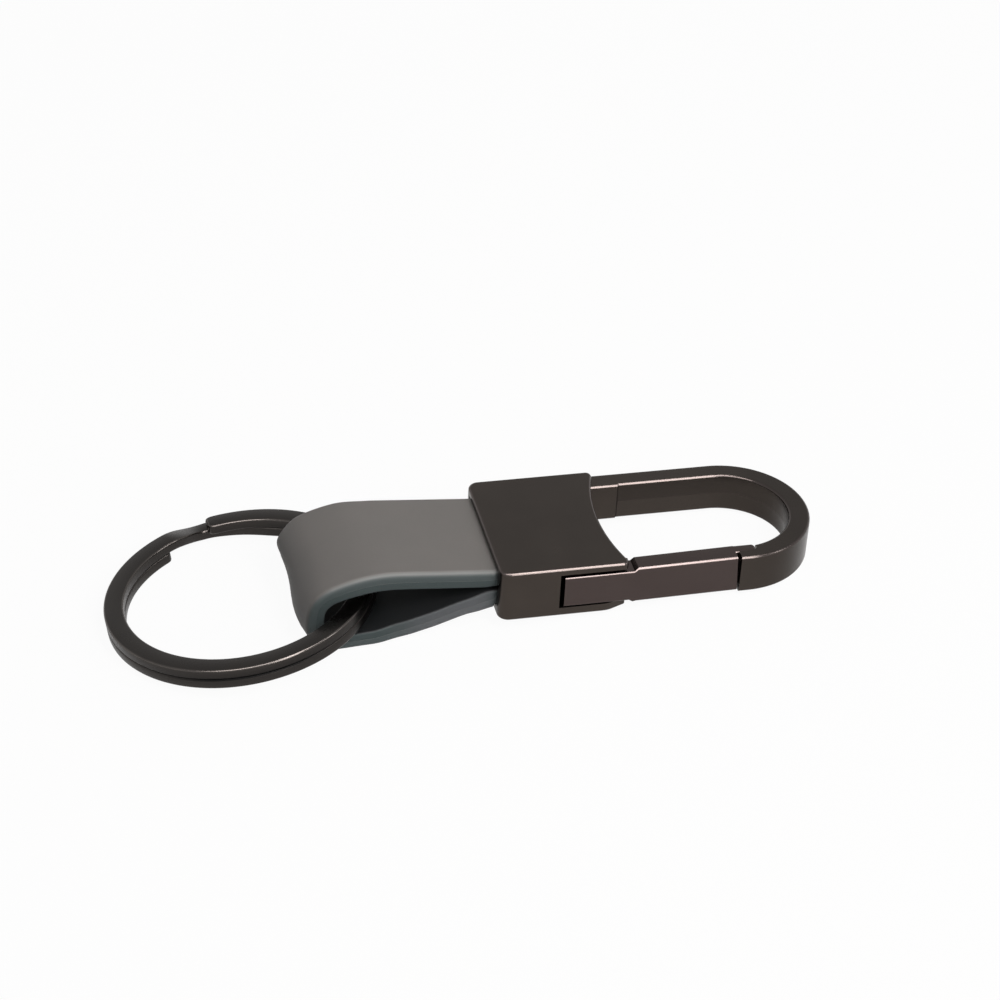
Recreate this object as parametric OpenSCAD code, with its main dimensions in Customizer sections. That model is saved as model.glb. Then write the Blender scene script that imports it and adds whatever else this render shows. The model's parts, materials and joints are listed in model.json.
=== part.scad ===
// Belt key clip: a cast spring-gate hook, a folded leather strap and a split ring.
// Lengths are millimetres. The clip is drawn in its own frame (X from the strap mouth
// to the hook's end, Y across, Z up through its thickness) and then laid down on Z = 0.

/* [Clip body] */
// Width of the hook across its two arms
clip_w = 20.5; // [18:0.5:24]
// Length from the strap mouth to the end of the hook
clip_len = 42.2; // [38:0.1:50]
// Thickness of the hook
bow_h = 5.3; // [4.6:0.1:6]
// Width of the hook's two arms
bar_w = 2.5; // [2:0.1:2.8]
// Width of the hook at its round end
end_w = 2.7; // [2:0.1:3.2]
// Length of the block that holds the strap and the gate
block_len = 16.2; // [15.6:0.1:18]
// Thickness of the block
block_h = 7.1; // [6.6:0.05:8]
// How far the block's middle lies below the hook's middle
block_sink = 0.15; // [0:0.025:0.3]
// How far the block's sides lie inside the hook's sides
side_inset = 0.1; // [0.05:0.05:0.2]
// Radius of the block's corners beside the strap
corner_r = 1.4; // [0.8:0.1:2]
// Depth of the hollow curve in the block's front
front_hollow = 1.5; // [0.8:0.1:2]
// Flat left at each end of the hollow curve
horn_flat = 1; // [0.8:0.1:1.5]
// Radius of the block's two front corners
horn_r = 0.7; // [0.3:0.1:0.9]
// Distance from the block's front at which the lower plate begins to turn in
heel_back = 3; // [2:0.1:4]
// Angle by which the lower plate's side turns in beside the gate, in degrees
heel_turn = 23; // [10:1:35]
// Radius of that turn
heel_r = 3.4; // [1:0.1:4]
// Rounding of the cast edges
edge_r = 0.35; // [0.2:0.05:0.5]
// Bulge of the hook's inner sides at the mould's parting line
draft = 0.1; // [0:0.02:0.2]
// Length of the thicker root of the fixed arm
root_len = 3.1; // [2:0.1:5]
// How much thicker the root is
root_step = 0.2; // [0.05:0.05:0.3]

/* [Strap] */
// Width of the strap
strap_w = 16.4; // [14:0.2:17]
// Thickness of the outer leather
leather_t = 1.2; // [1:0.05:1.3]
// Thickness of the lining
lining_t = 1.05; // [0.8:0.05:1.2]
// Gap between the two ends of the strap in the mouth
leaf_gap = 0.6; // [0.2:0.05:0.7]
// Depth to which the strap ends reach into the block
strap_in = 5.4; // [4:0.2:5.8]
// Rise of the upper leaf as it leaves the block, in degrees
rise = 5; // [4:0.2:8]
// Length of the upper leaf's straight rise
rise_len = 11.3; // [10:0.1:12.5]
// Radius of the gentle crown over the ring, at mid thickness
crown_r = 17; // [15:0.5:19]
// Slope at which the crown passes into the fold, in degrees
fall = 23; // [20:0.5:25]
// Radius of the fold, at mid thickness
fold_r = 4.8; // [4.4:0.1:5.2]
// Radius of the fold's lower corner, at mid thickness
sole_r = 2.3; // [1.8:0.1:2.5]
// Radius at which the lower leaf lifts off the ground, at mid thickness
belly_r = 8; // [6:0.5:12]
// Slope of the lower leaf against the clip, in degrees
drop = 16; // [15:0.25:18]
// Radius of the bend at the block's mouth, at mid thickness
bend_r = 8; // [4:0.5:10]
// How much further the fold reaches at the strap's far edge than at its near edge
fold_skew = 0.6; // [0:0.1:1.4]

/* [Gate] */
// Distance from the strap mouth to the gate's slot
slot_x = 7.55; // [7.2:0.05:8]
// Gap between the end of the slot and the gate's heel
heel_gap = 0.6; // [0.4:0.05:0.8]
// Gap between the gate and the hook's nose
nose_gap = 0.3; // [0.25:0.05:0.6]
// Lean of the gate's end face, which makes the gap narrower below, in degrees
end_lean = 3; // [0:0.5:3]
// Distance from the hook's round end to the nose
nose_back = 11.55; // [10.8:0.05:12]
// Width of the gate where it leaves the block
gate_root_w = 2.6; // [2:0.1:2.8]
// How much wider the gate's tail is than the arm that leaves it
tail_extra = 0.4; // [0:0.05:0.6]
// Width of the gate at the nose
gate_tip_w = 2.7; // [2.3:0.05:3]
// How far the gate's side draws in towards the nose
gate_draw = 0.25; // [0:0.05:0.4]
// Drop of the gate's top below the top of the hook
gate_drop = 0.15; // [0.05:0.05:0.3]
// Length of the tongue that laps behind the nose
tongue_len = 2.1; // [1.8:0.1:2.8]
// Thickness of the tongue
tongue_w = 1.5; // [1.1:0.05:1.7]
// Drop of the gate's tail below the top of the hook
tail_drop = 0.65; // [0.4:0.05:0.8]
// Thickness of the plate above the gate's tail
plate_t = 0.93; // [0.8:0.01:1.1]
// Radius of the pivot pin and of the two strap pins
pin_r = 0.75; // [0.6:0.05:0.9]
// Radial running clearance of the gate on its pin
pin_fit = 0.05; // [0.02:0.01:0.08]
// Largest opening of the gate, in degrees
gate_open = 25; // [20:1:28]

/* [Gate spring] */
// Radius of the spring wire
spring_wire_r = 0.15; // [0.1:0.01:0.2]
// Mean radius of the spring
spring_r = 0.8; // [0.6:0.05:0.9]
// Number of curls
spring_curls = 5; // [4:1:6]

/* [Split ring] */
// Outer diameter of the split ring
ring_d = 33.9; // [32.5:0.2:35.3]
// Width of the ring's flat wire
wire_w = 2.5; // [2:0.1:2.8]
// Thickness of the ring's flat wire
wire_t = 1.36; // [1.2:0.02:1.4]
// Gap between the ring's two turns
turn_gap = 0.03; // [0.02:0.01:0.12]
// Rounding of the wire's edges
wire_edge_r = 0.2; // [0.1:0.05:0.5]
// How far the ring reaches into the strap past the fold
ring_in = 10.8; // [10:0.1:11.4]
// Sideways place of the ring in the strap
ring_y = 1.5; // [-2:0.1:2]
// Sideways lean of the ring, in degrees
ring_lean = 2.4; // [0:0.1:3]
// Direction of the ring's upper end, in degrees from the clip's axis
ring_end_turn = 97.5; // [80:0.5:140]
// Angle swept by the whole wire, in degrees
ring_sweep = 698.5; // [692:0.5:702]
// How far the lower turn swells out of round beside the crossover
cross_swell = 1.2; // [0:0.05:1.4]

/* [Hidden] */

// Finish colours
metal_colour = [0.24, 0.22, 0.22];
gate_colour = [0.27, 0.25, 0.25];
ring_colour = [0.21, 0.2, 0.2];
pin_colour = [0.55, 0.55, 0.57];
leather_colour = [0.43, 0.43, 0.42];
lining_colour = [0.16, 0.17, 0.18];

// Shared clearances and overruns
seat = 0.05;
side_fit = 0.1;
run_fit = 0.12;
over = 1;
round_steps = 4;
arc_step = 6;
fine = 96;

// Clip body, derived
half_w = clip_w / 2;
block_half = half_w - side_inset;
block_top = block_h / 2 - block_sink;
block_bottom = -block_h / 2 - block_sink;
hook_cx = clip_len - half_w;
inner_r = half_w - bar_w;
inner_cx = clip_len - end_w - inner_r;
front_half = block_half - horn_flat;
front_r = (front_half * front_half + front_hollow * front_hollow) / (2 * front_hollow);
front_cx = block_len - front_hollow + front_r;
bow_overlap = 0.65;

// Strap, derived
leaf_t = leather_t + lining_t;
leaf_mid = (leaf_gap + leaf_t) / 2;
cavity_h = 2 * leaf_t + leaf_gap + 2 * seat;
cavity_w = strap_w + 2 * side_fit;
cavity_depth = strap_in + side_fit;
strap_pin_x = strap_in / 2;
strap_pin_y = strap_w / 4;
pin_recess = 0.15;
pin_blind = 0.45;

// Gate, derived
slot_h = 2 * (block_top - plate_t);
nose_x = clip_len - nose_back;
gate_end = nose_x - nose_gap;
heel_x = slot_x + heel_gap;
heel_len = 2;
pivot_x = heel_x + heel_len;
pivot_in = 2.4;
pivot_y = -half_w + pivot_in;
tail_in_y = pivot_y + heel_len;
tail_top = bow_h / 2 - tail_drop;
tail_bottom = -slot_h / 2 + run_fit;
gate_y = -block_half;
gate_top = bow_h / 2 - gate_drop;
gate_bottom = -bow_h / 2;
spring_reach = 2.7;
spring_x = pivot_x + spring_reach;
spring_pocket_r = spring_r + spring_wire_r + run_fit;
tail_wall = 0.25;
tail_shoulder_x = spring_x + spring_pocket_r + tail_wall;
tail_ramp = 1.1;
tail_root_w = gate_root_w + tail_extra;
step_run = 0.45;
step_gap = 0.75;
step_x = block_len + step_gap;
boss_r = 1.6;
tail_edge_r = 0.2;
tongue_drop = 0.08;
spring_floor = 1.6;
spring_y0 = -half_w + spring_floor;
// The pocket is deep enough for the tail's inner corner to swing past its wall
swing_x = tail_shoulder_x - pivot_x;
pocket_wall_y = pivot_y + swing_x * sin(gate_open) + heel_len * cos(gate_open) + 2 * run_fit;
lip_gap = 0.15;
tip_y = gate_y + gate_draw;
lip_w = half_w + tip_y + gate_tip_w - tongue_w - lip_gap;
tip_room = 0.3;
tongue_edge_r = 0.3;

// Laying the clip down: the ground touches the hook's end and the strap's fold
lie = 3.9;
ground_n = [-sin(lie), cos(lie)];
end_corner = [clip_len - edge_r, edge_r - bow_h / 2];
ground = ground_n * end_corner - edge_r;

// Strap route, as points in the clip's X and Z with a heading in degrees
function ahead(h) = [cos(h), sin(h)];
function aside(h) = [-sin(h), cos(h)];
function arc_shift(r, h, t) = (t < 0 ? -r : r) * [sin(h + t) - sin(h), cos(h) - cos(h + t)];
function arc_run(p, r, h, t) = let (n = max(2, ceil(abs(t) / arc_step)))
    [for (i = [1:n]) [p + arc_shift(r, h, t * i / n), h + t * i / n]];

up_h = 180 - rise;
fall_h = 180 + fall;
mouth_a = [0, leaf_mid];
mouth_b = [0, -leaf_mid];
crown_a = mouth_a + arc_shift(bend_r, 180, -rise) + rise_len * ahead(up_h);
side_a = crown_a + arc_shift(crown_r, up_h, rise + fall) + arc_shift(fold_r, fall_h, 90 - fall);
sole_turn = 90 + lie;
sole_shift = arc_shift(sole_r, 270, sole_turn);
belly_shift = arc_shift(belly_r, lie, drop - lie);
bend_shift = arc_shift(bend_r, drop, -drop);
// The fold moves along the rise by a given amount, and three straights take up the rest:
// down the fold's side to the ground, along the ground, and back up to the mouth
function side_len(more) =
    (ground_n * (side_a + more * ahead(up_h) + sole_shift) - ground - leaf_t / 2) / cos(lie);
function sole_at(more) = side_a + more * ahead(up_h) - [0, side_len(more)];
function rest_run(more) = mouth_b - sole_at(more) - sole_shift - belly_shift - bend_shift;
function flat_len(more) = cross(rest_run(more), ahead(drop)) / cross(ahead(lie), ahead(drop));
function back_len(more) = cross(ahead(lie), rest_run(more)) / cross(ahead(lie), ahead(drop));
function belly_at(more) = sole_at(more) + sole_shift + flat_len(more) * ahead(lie);
function back_at(more) = belly_at(more) + belly_shift;
function bend_at(more) = back_at(more) + back_len(more) * ahead(drop);
function strap_route(more) = let (crown = crown_a + more * ahead(up_h)) concat(
    [[[strap_in, leaf_mid], 180], [mouth_a, 180]],
    arc_run(mouth_a, bend_r, 180, -rise),
    [[crown, up_h]],
    arc_run(crown, crown_r, up_h, rise + fall),
    arc_run(crown + arc_shift(crown_r, up_h, rise + fall), fold_r, fall_h, 90 - fall),
    [[sole_at(more), 270]],
    arc_run(sole_at(more), sole_r, 270, sole_turn),
    [[belly_at(more), 360 + lie]],
    arc_run(belly_at(more), belly_r, 360 + lie, drop - lie),
    [[bend_at(more), 360 + drop]],
    arc_run(bend_at(more), bend_r, 360 + drop, -drop),
    [[[strap_in, -leaf_mid], 360]]);
function strap_side(more, d) = [for (s = strap_route(more)) s[0] + d * aside(s[1])];
function reversed(list) = [for (i = [len(list) - 1:-1:0]) list[i]];

// Places on the ground, in the final frame
function laid(p) = [p[0] * cos(lie) + p[1] * sin(lie), ground_n * p - ground];
ring_r = ring_d / 2;
ring_h = 2 * wire_t + turn_gap;
fold_left = laid(side_a - [leaf_t / 2, 0]);
ring_cx = fold_left[0] + ring_in - ring_r;
ring_fit = 0.12;
wire_in_r = ring_r - wire_w;
lean_rate = tan(ring_lean);
// Slope at which the leaning ring, with its left end on the ground, passes a height h at a
// place x along and y across from its centre
function slope_over(x, y, h) = let (
    g = h + y * lean_rate,
    a = ring_r * ring_r - x * x,
    b = x * g,
    c = pow(ring_r * lean_rate, 2) - g * g)
    atan((sqrt(b * b - a * c) - b) / a);
far_y = strap_w / 2 - ring_y;
near_y = -strap_w / 2 - ring_y;
over_leaf = leaf_t + ring_fit;
back_top = laid(back_at(0) + leaf_t / 2 * aside(drop));
over_back = over_leaf + max(0, (ring_cx + ring_r - back_top[0]) * tan(drop - lie));
ring_slope = max(
    slope_over(sqrt(pow(wire_in_r, 2) - far_y * far_y), far_y, over_leaf),
    slope_over(sqrt(pow(wire_in_r, 2) - near_y * near_y), near_y, over_leaf),
    slope_over(wire_in_r, 0, over_back));
ring_n = [-cos(ring_lean) * sin(ring_slope), sin(ring_lean), cos(ring_lean) * cos(ring_slope)];
ring_cz = (ring_r - wire_edge_r) * sqrt(1 - ring_n[2] * ring_n[2]) + wire_edge_r
    - wire_edge_r * ring_n[2];

// The lower turn leaves the crossover pushed outwards, and so reaches further across
cross_margin = 1;
cross_to = 360 - cross_margin;
swell_reach = (ring_r + cross_swell) * sin(ring_end_turn - cross_to) - ring_r;

// The origin lies on the ground under the middle of the whole object
right_x = (clip_len - edge_r) * cos(lie) + (bow_h / 2 - edge_r) * sin(lie) + edge_r;
left_x = ring_cx - (ring_r - wire_edge_r) * sqrt(1 - ring_n[0] * ring_n[0]) - wire_edge_r
    + (ring_h - wire_edge_r) * ring_n[0];
mid_x = (right_x + left_x) / 2;
mid_y = ring_y + (ring_h * ring_n[1] + max(0, swell_reach)) / 2;

// Values for the motion record
function in_frame(p) = [p[0] * cos(lie) + p[2] * sin(lie) - mid_x, p[1] - mid_y,
    p[2] * cos(lie) - p[0] * sin(lie) - ground];
echo(gate_axis_at = in_frame([pivot_x, pivot_y, 0]), gate_axis = [sin(lie), 0, cos(lie)]);
echo(ring_axis_at = [ring_cx - mid_x, ring_y - mid_y, ring_cz] + ring_h / 2 * ring_n,
    ring_axis = ring_n, ring_slope = ring_slope);
echo(clip_zero_at = in_frame([0, 0, 0]), spring_wall_at = in_frame([spring_x, pocket_wall_y, 0]),
    fold_left_at = [fold_left[0] - mid_x, 0, fold_left[1]]);
echo(strap_near = [side_len(0), flat_len(0), back_len(0)],
    strap_far = [side_len(fold_skew), flat_len(fold_skew), back_len(fold_skew)],
    spring_gap = spring_pitch - 2 * spring_wire_r);

module laid_down() {
    translate([-mid_x, -mid_y, -ground])
        rotate([0, lie, 0])
            children();
}

// Outline of the block from above, drawn in by a given amount
function corner(cx, cy, r, from) = [for (i = [0:2 * round_steps])
    let (a = from + 90 * i / (2 * round_steps)) [cx + r * cos(a), cy + r * sin(a)]];
function block_outline(inset) = let (
    h = block_half - inset,
    r = front_r + inset,
    reach = front_cx - block_len + inset,
    top_y = sqrt(r * r - reach * reach),
    n = 16)
    concat(
        corner(corner_r, -block_half + corner_r, corner_r - inset, 180),
        corner(block_len - horn_r, -block_half + horn_r, horn_r - inset, 270),
        [for (i = [0:n]) let (y = top_y * (2 * i / n - 1)) [front_cx - sqrt(r * r - y * y), y]],
        corner(block_len - horn_r, block_half - horn_r, horn_r - inset, 0),
        corner(corner_r, block_half - corner_r, corner_r - inset, 90));

// Closed skin over a stack of rings that have equal numbers of points
module skin(rings) {
    n = len(rings[0]);
    m = len(rings);
    polyhedron(
        points = [for (ring = rings) each ring],
        faces = concat(
            [[for (i = [0:n - 1]) i]],
            [[for (i = [n - 1:-1:0]) (m - 1) * n + i]],
            [for (k = [0:m - 2], i = [0:n - 1]) let (a = k * n + i, b = k * n + (i + 1) % n)
                each [[a, a + n, b], [b, a + n, b + n]]]),
        convexity = 6);
}

module block() {
    levels = concat(
        [for (i = [0:round_steps]) let (a = 90 * i / round_steps)
            [edge_r * (1 - sin(a)), block_bottom + edge_r * (1 - cos(a))]],
        [for (i = [round_steps:-1:0]) let (a = 90 * i / round_steps)
            [edge_r * (1 - sin(a)), block_top - edge_r * (1 - cos(a))]]);
    skin([for (l = levels) [for (p = block_outline(l[0])) [p[0], p[1], l[1]]]]);
}

// Half section of a plate with round edges, from the middle out to a given half width
function round_edge(half, h, r) = concat(
    [[0, -h / 2]],
    [for (i = [0:round_steps]) let (a = 90 * i / round_steps)
        [half - r + r * sin(a), -h / 2 + r - r * cos(a)]],
    [for (i = [round_steps:-1:0]) let (a = 90 * i / round_steps)
        [half - r + r * sin(a), h / 2 - r + r * cos(a)]],
    [[0, h / 2]]);
// Half section of a cutter whose mouths flare, so that the edges it leaves are round. It
// is narrowest at mid height, where the two halves of the mould met.
function flare_edge(half, h, r) = concat(
    [[0, -h / 2 - over], [half + r, -h / 2 - over]],
    [for (i = [0:round_steps]) let (a = 90 * i / round_steps)
        [half + r - r * sin(a), -h / 2 + r - r * cos(a)]],
    [[half - draft, 0]],
    [for (i = [round_steps:-1:0]) let (a = 90 * i / round_steps)
        [half + r - r * sin(a), h / 2 - r + r * cos(a)]],
    [[half + r, h / 2 + over], [0, h / 2 + over]]);

module half_turn(section) {
    rotate([0, 0, -90])
        rotate_extrude(angle = 180, $fn = fine)
            polygon(section);
}

module along_x(section, from, to) {
    translate([from, 0, 0])
        rotate([90, 0, 90])
            linear_extrude(to - from) {
                polygon(section);
                mirror([1, 0])
                    polygon(section);
            }
}

module hook() {
    outer = round_edge(half_w, bow_h, edge_r);
    inner = flare_edge(inner_r, bow_h, edge_r);
    start = block_len - bow_overlap;
    difference() {
        union() {
            translate([hook_cx, 0, 0])
                half_turn(outer);
            along_x(outer, start, hook_cx);
        }
        translate([inner_cx, 0, 0])
            half_turn(inner);
        along_x(inner, start - over, inner_cx);
        // Room for the gate
        translate([start - over, -half_w - over, -bow_h])
            cube([nose_x - start + over, half_w + over, 2 * bow_h]);
        // Rebate behind the nose for the gate's tongue
        nose_rebate();
    }
}

module nose_rebate() {
    y0 = -half_w + lip_w;
    tip = tongue_len + tip_room;
    r = tongue_w / 2;
    translate([nose_x - nose_gap, y0, -bow_h])
        cube([tip + nose_gap - r, tongue_w * 2, 2 * bow_h]);
    translate([nose_x + tip - r, y0 + r, -bow_h])
        cylinder(h = 2 * bow_h, r = r, $fn = fine);
    translate([nose_x + tip - r, y0 + r, -bow_h])
        cube([r, tongue_w * 2, 2 * bow_h]);
}

module fixed_arm_root() {
    translate([0, inner_r - root_step + bar_w / 2, 0])
        along_x(round_edge(bar_w / 2, bow_h, edge_r), block_len - bow_overlap, block_len + root_len);
}

// Pockets for the strap ends and for the gate's tail, and the three pin holes
module block_pockets() {
    translate([-over, -cavity_w / 2, -cavity_h / 2])
        cube([cavity_depth + over, cavity_w, cavity_h]);
    translate([slot_x, -block_half - over, -slot_h / 2])
        cube([block_len, block_half + over + pocket_wall_y, slot_h]);
    translate([pivot_x, pivot_y, -block_h])
        cylinder(h = block_h + slot_h / 2 + pin_blind, r = pin_r, $fn = fine);
    for (side = [-1, 1])
        translate([strap_pin_x, side * strap_pin_y, -block_h])
            cylinder(h = block_h + cavity_h / 2 + pin_blind, r = pin_r, $fn = fine);
}

// Outline that the lower plate keeps beside the gate, drawn in by a given amount
function heel_outline(inset) = let (
    x = block_len - heel_back,
    y = heel_r - block_half,
    r = heel_r - inset,
    reach = 2 * heel_back)
    concat(
        [[x - over, y - r]],
        [for (i = [0:round_steps]) let (a = heel_turn * i / round_steps) [x + r * sin(a), y - r * cos(a)]],
        [[x + r * sin(heel_turn) + reach * cos(heel_turn), y - r * cos(heel_turn) + reach * sin(heel_turn)],
            [x - over, y]]);
// The lower plate turns in beside the gate, with the same round edge below
module heel_corner() {
    levels = concat(
        [[edge_r, block_bottom - over]],
        [for (i = [0:round_steps]) let (a = 90 * i / round_steps)
            [edge_r * (1 - sin(a)), block_bottom + edge_r * (1 - cos(a))]],
        [[0, 0]]);
    difference() {
        translate([block_len - heel_back, -block_half - over, block_bottom - over / 2])
            cube([heel_back + over, over + heel_r / 2, over / 2 - slot_h / 2 - block_bottom]);
        skin([for (l = levels) [for (p = heel_outline(l[0])) [p[0], p[1], l[1]]]]);
    }
}

module clip_body() {
    color(metal_colour)
        laid_down()
            difference() {
                union() {
                    block();
                    hook();
                    fixed_arm_root();
                }
                block_pockets();
                heel_corner();
            }
}

// Round-edged section of the gate's arm at one place along it, from its outer side's y
function gate_ring(x, from_y, w, low, high, r, lean = 0) = [
    for (c = [[1, 0, -1], [1, 1, 0], [0, 1, 1], [0, 0, 2]], i = [0:round_steps])
    let (a = 90 * (c[2] + i / round_steps),
        y = from_y + (c[0] == 1 ? w - r : r) + r * cos(a),
        z = (c[1] == 1 ? high - r : low + r) + r * sin(a))
    [x - z * tan(lean), y, z]];

module gate_arm() {
    skin([
        gate_ring(step_x - step_run, gate_y, gate_root_w, tail_bottom, tail_top, tail_edge_r),
        gate_ring(step_x, gate_y, gate_root_w, gate_bottom, tail_top, tail_edge_r),
        gate_ring(step_x + step_run, gate_y, gate_root_w, gate_bottom, gate_top, edge_r),
        gate_ring(gate_end, tip_y, gate_tip_w, gate_bottom, gate_top, edge_r, end_lean)]);
}

// The tail seen from above: a round heel about the pivot and a ramp down to the arm
module tail_plan() {
    translate([pivot_x, pivot_y])
        circle(r = heel_len, $fn = fine);
    polygon([
        [heel_x, gate_y], [step_x - step_run / 2, gate_y],
        [step_x - step_run / 2, gate_y + tail_root_w],
        [tail_shoulder_x + tail_ramp, gate_y + tail_root_w],
        [tail_shoulder_x, tail_in_y], [pivot_x, tail_in_y],
        [pivot_x, pivot_y], [heel_x, pivot_y]]);
}

module gate_tail() {
    intersection() {
        translate([0, 0, tail_bottom])
            linear_extrude(tail_top - tail_bottom)
                tail_plan();
        translate([heel_x - over, 0, (tail_top + tail_bottom) / 2])
            rotate([90, 0, 90])
                linear_extrude(step_x - heel_x + over)
                    mirror([1, 0])
                        polygon(round_edge(block_half, tail_top - tail_bottom, tail_edge_r));
    }
    // Boss that keeps the tail at its height between the plates
    translate([pivot_x, pivot_y, tail_top - seat])
        cylinder(h = slot_h / 2 - run_fit - tail_top + seat, r = boss_r, $fn = fine);
}

module gate_tongue() {
    r = tongue_w / 2;
    tongue_h = gate_top - gate_bottom - 2 * tongue_drop;
    straight = nose_gap + 2 * tongue_len - r;
    translate([gate_end - tongue_len, tip_y + gate_tip_w - r, (gate_top + gate_bottom) / 2])
        intersection() {
            translate([0, 0, -tongue_h / 2])
                linear_extrude(tongue_h) {
                    translate([0, -r])
                        square([straight, tongue_w]);
                    translate([straight, 0])
                        circle(r = r, $fn = fine);
                }
            along_x(round_edge(r, tongue_h, tongue_edge_r), 0, straight + tongue_w);
        }
}

module gate() {
    color(gate_colour)
        laid_down()
            difference() {
                union() {
                    gate_arm();
                    gate_tail();
                    gate_tongue();
                }
                translate([pivot_x, pivot_y, -block_h])
                    cylinder(h = 2 * block_h, r = pin_r + pin_fit, $fn = fine);
                translate([spring_x, spring_y0, 0])
                    rotate([-90, 0, 0])
                        cylinder(h = clip_w, r = spring_pocket_r, $fn = fine);
            }
}

// Plain dowel, pressed in from the underside and blind at the top
module dowel(x, y, top) {
    translate([x, y, block_bottom + pin_recess])
        cylinder(h = top - pin_recess - block_bottom, r = pin_r, $fn = fine);
}

module gate_pin() {
    color(pin_colour)
        laid_down()
            dowel(pivot_x, pivot_y, slot_h / 2 + pin_blind);
}

module strap_pins() {
    color(pin_colour)
        laid_down()
            for (side = [-1, 1])
                dowel(strap_pin_x, side * strap_pin_y, cavity_h / 2 + pin_blind);
}

// Compression spring between the gate's tail and the wall of its pocket
spring_sides = 6;
spring_rings = 8;
spring_len = pocket_wall_y - spring_y0 - 2 * spring_wire_r;
spring_pitch = spring_len / spring_curls;
function spring_ring(i) = let (
    turn = 360 * i / spring_rings,
    lead = atan(spring_pitch / (2 * PI * spring_r)),
    mid = [spring_r * cos(turn), spring_wire_r + spring_pitch * i / spring_rings,
        spring_r * sin(turn)],
    out = [cos(turn), 0, sin(turn)],
    up = [sin(turn) * sin(lead), cos(lead), -cos(turn) * sin(lead)])
    [for (k = [0:spring_sides - 1]) let (a = 360 * k / spring_sides)
        mid + spring_wire_r * (cos(a) * out + sin(a) * up)];

module gate_spring() {
    color(pin_colour)
        laid_down()
            translate([spring_x, spring_y0, 0])
                skin([for (i = [0:spring_rings * spring_curls]) spring_ring(i)]);
}

function across(p, side) = [p[0], side * strap_w / 2, p[1]];
// One layer of the folded strap, between two distances from its middle surface. Its near
// and far outlines have the same turns, so the surface between them bends without a twist.
module strap_layer(from, to) {
    near_from = strap_side(0, from);
    near_to = strap_side(0, to);
    far_from = strap_side(fold_skew, from);
    far_to = strap_side(fold_skew, to);
    difference() {
        skin([for (i = [0:len(near_from) - 1])
            [across(far_from[i], 1), across(far_to[i], 1), across(near_to[i], -1), across(near_from[i], -1)]]);
        for (side = [-1, 1])
            translate([strap_pin_x, side * strap_pin_y, -block_h])
                cylinder(h = 2 * block_h, r = pin_r + pin_fit, $fn = fine);
    }
}

module strap_leather() {
    color(leather_colour)
        laid_down()
            strap_layer(-leaf_t / 2, leather_t - leaf_t / 2);
}

module strap_lining() {
    color(lining_colour)
        laid_down()
            strap_layer(leather_t - leaf_t / 2, leaf_t / 2);
}

// Split ring: one flat wire in two turns, which steps down a level at the crossover
cross_from = ring_sweep - 360 + cross_margin;
cross_steps = 9;
swell_fade = 35;
turn_step = 5.5;
wire_end_r = 0.9;
wire_end_turn = wire_end_r / (ring_r - wire_w / 2) * 180 / PI;
end_shares = [0, 0.08, 0.3, 0.62];
function even(from, to, n) = [for (i = [0:n - 1]) from + (to - from) * i / n];
ring_turns = concat(
    [for (s = end_shares) s * wire_end_turn],
    even(wire_end_turn, cross_from, round(cross_from / turn_step)),
    even(cross_from, cross_to, cross_steps),
    even(cross_to, ring_sweep - wire_end_turn, round((ring_sweep - cross_to) / turn_step)),
    [for (s = reversed(end_shares)) ring_sweep - s * wire_end_turn]);
function level_share(t) = t <= cross_from ? 1 : t >= cross_to ? 0
    : (1 + cos(180 * (t - cross_from) / (cross_to - cross_from))) / 2;
function swell(t) = t <= cross_from || t >= cross_to + swell_fade ? 0
    : cross_swell * (t < cross_to ? 1 - level_share(t) : (1 + cos(180 * (t - cross_to) / swell_fade)) / 2);
// The wire's two ends have round corners, so its width grows from the end as on a circle
function end_inset(t) = let (d = min(t, ring_sweep - t) / wire_end_turn)
    d >= 1 ? 0 : wire_end_r * (1 - sqrt(1 - (1 - d) * (1 - d)));
function wire_ring(t) = let (
    inset = end_inset(t),
    w = wire_w - 2 * inset,
    r = min(wire_edge_r, w / 3),
    low = (wire_t + turn_gap) * level_share(t),
    mid_r = ring_r - wire_w / 2 + swell(t),
    a0 = ring_end_turn - t)
    [for (c = [[1, 0, -1], [1, 1, 0], [-1, 1, 1], [-1, 0, 2]], i = [0:2])
        let (a = 90 * (c[2] + i / 2),
            rad = mid_r + c[0] * (w / 2 - r) + r * cos(a),
            z = low + (c[1] == 1 ? wire_t - wire_edge_r : wire_edge_r) + wire_edge_r * sin(a))
        [rad * cos(a0), rad * sin(a0), z]];

module split_ring() {
    color(ring_colour)
        translate([ring_cx - mid_x, ring_y - mid_y, ring_cz])
            rotate([-ring_lean, -ring_slope, 0])
                skin([for (t = ring_turns) wire_ring(t)]);
}

clip_body();
gate();
gate_pin();
gate_spring();
strap_leather();
strap_lining();
strap_pins();
split_ring();
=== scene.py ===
# %% [markdown]
# # A belt key clip, dressed
#
# The object is a small clip for keys: a cast metal hook with a sprung gate, a folded
# leather strap held in the hook's block, and a flat-wire split ring. The CAD model is
# loaded first as a fixed frame. Its rigid metal parts and the soft strap then get their
# finish here, in metres, in the same frame.

# %% Load the CAD frame
import bmesh
import bpy
import json
import math
from mathutils import Euler, Matrix, Vector


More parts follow.
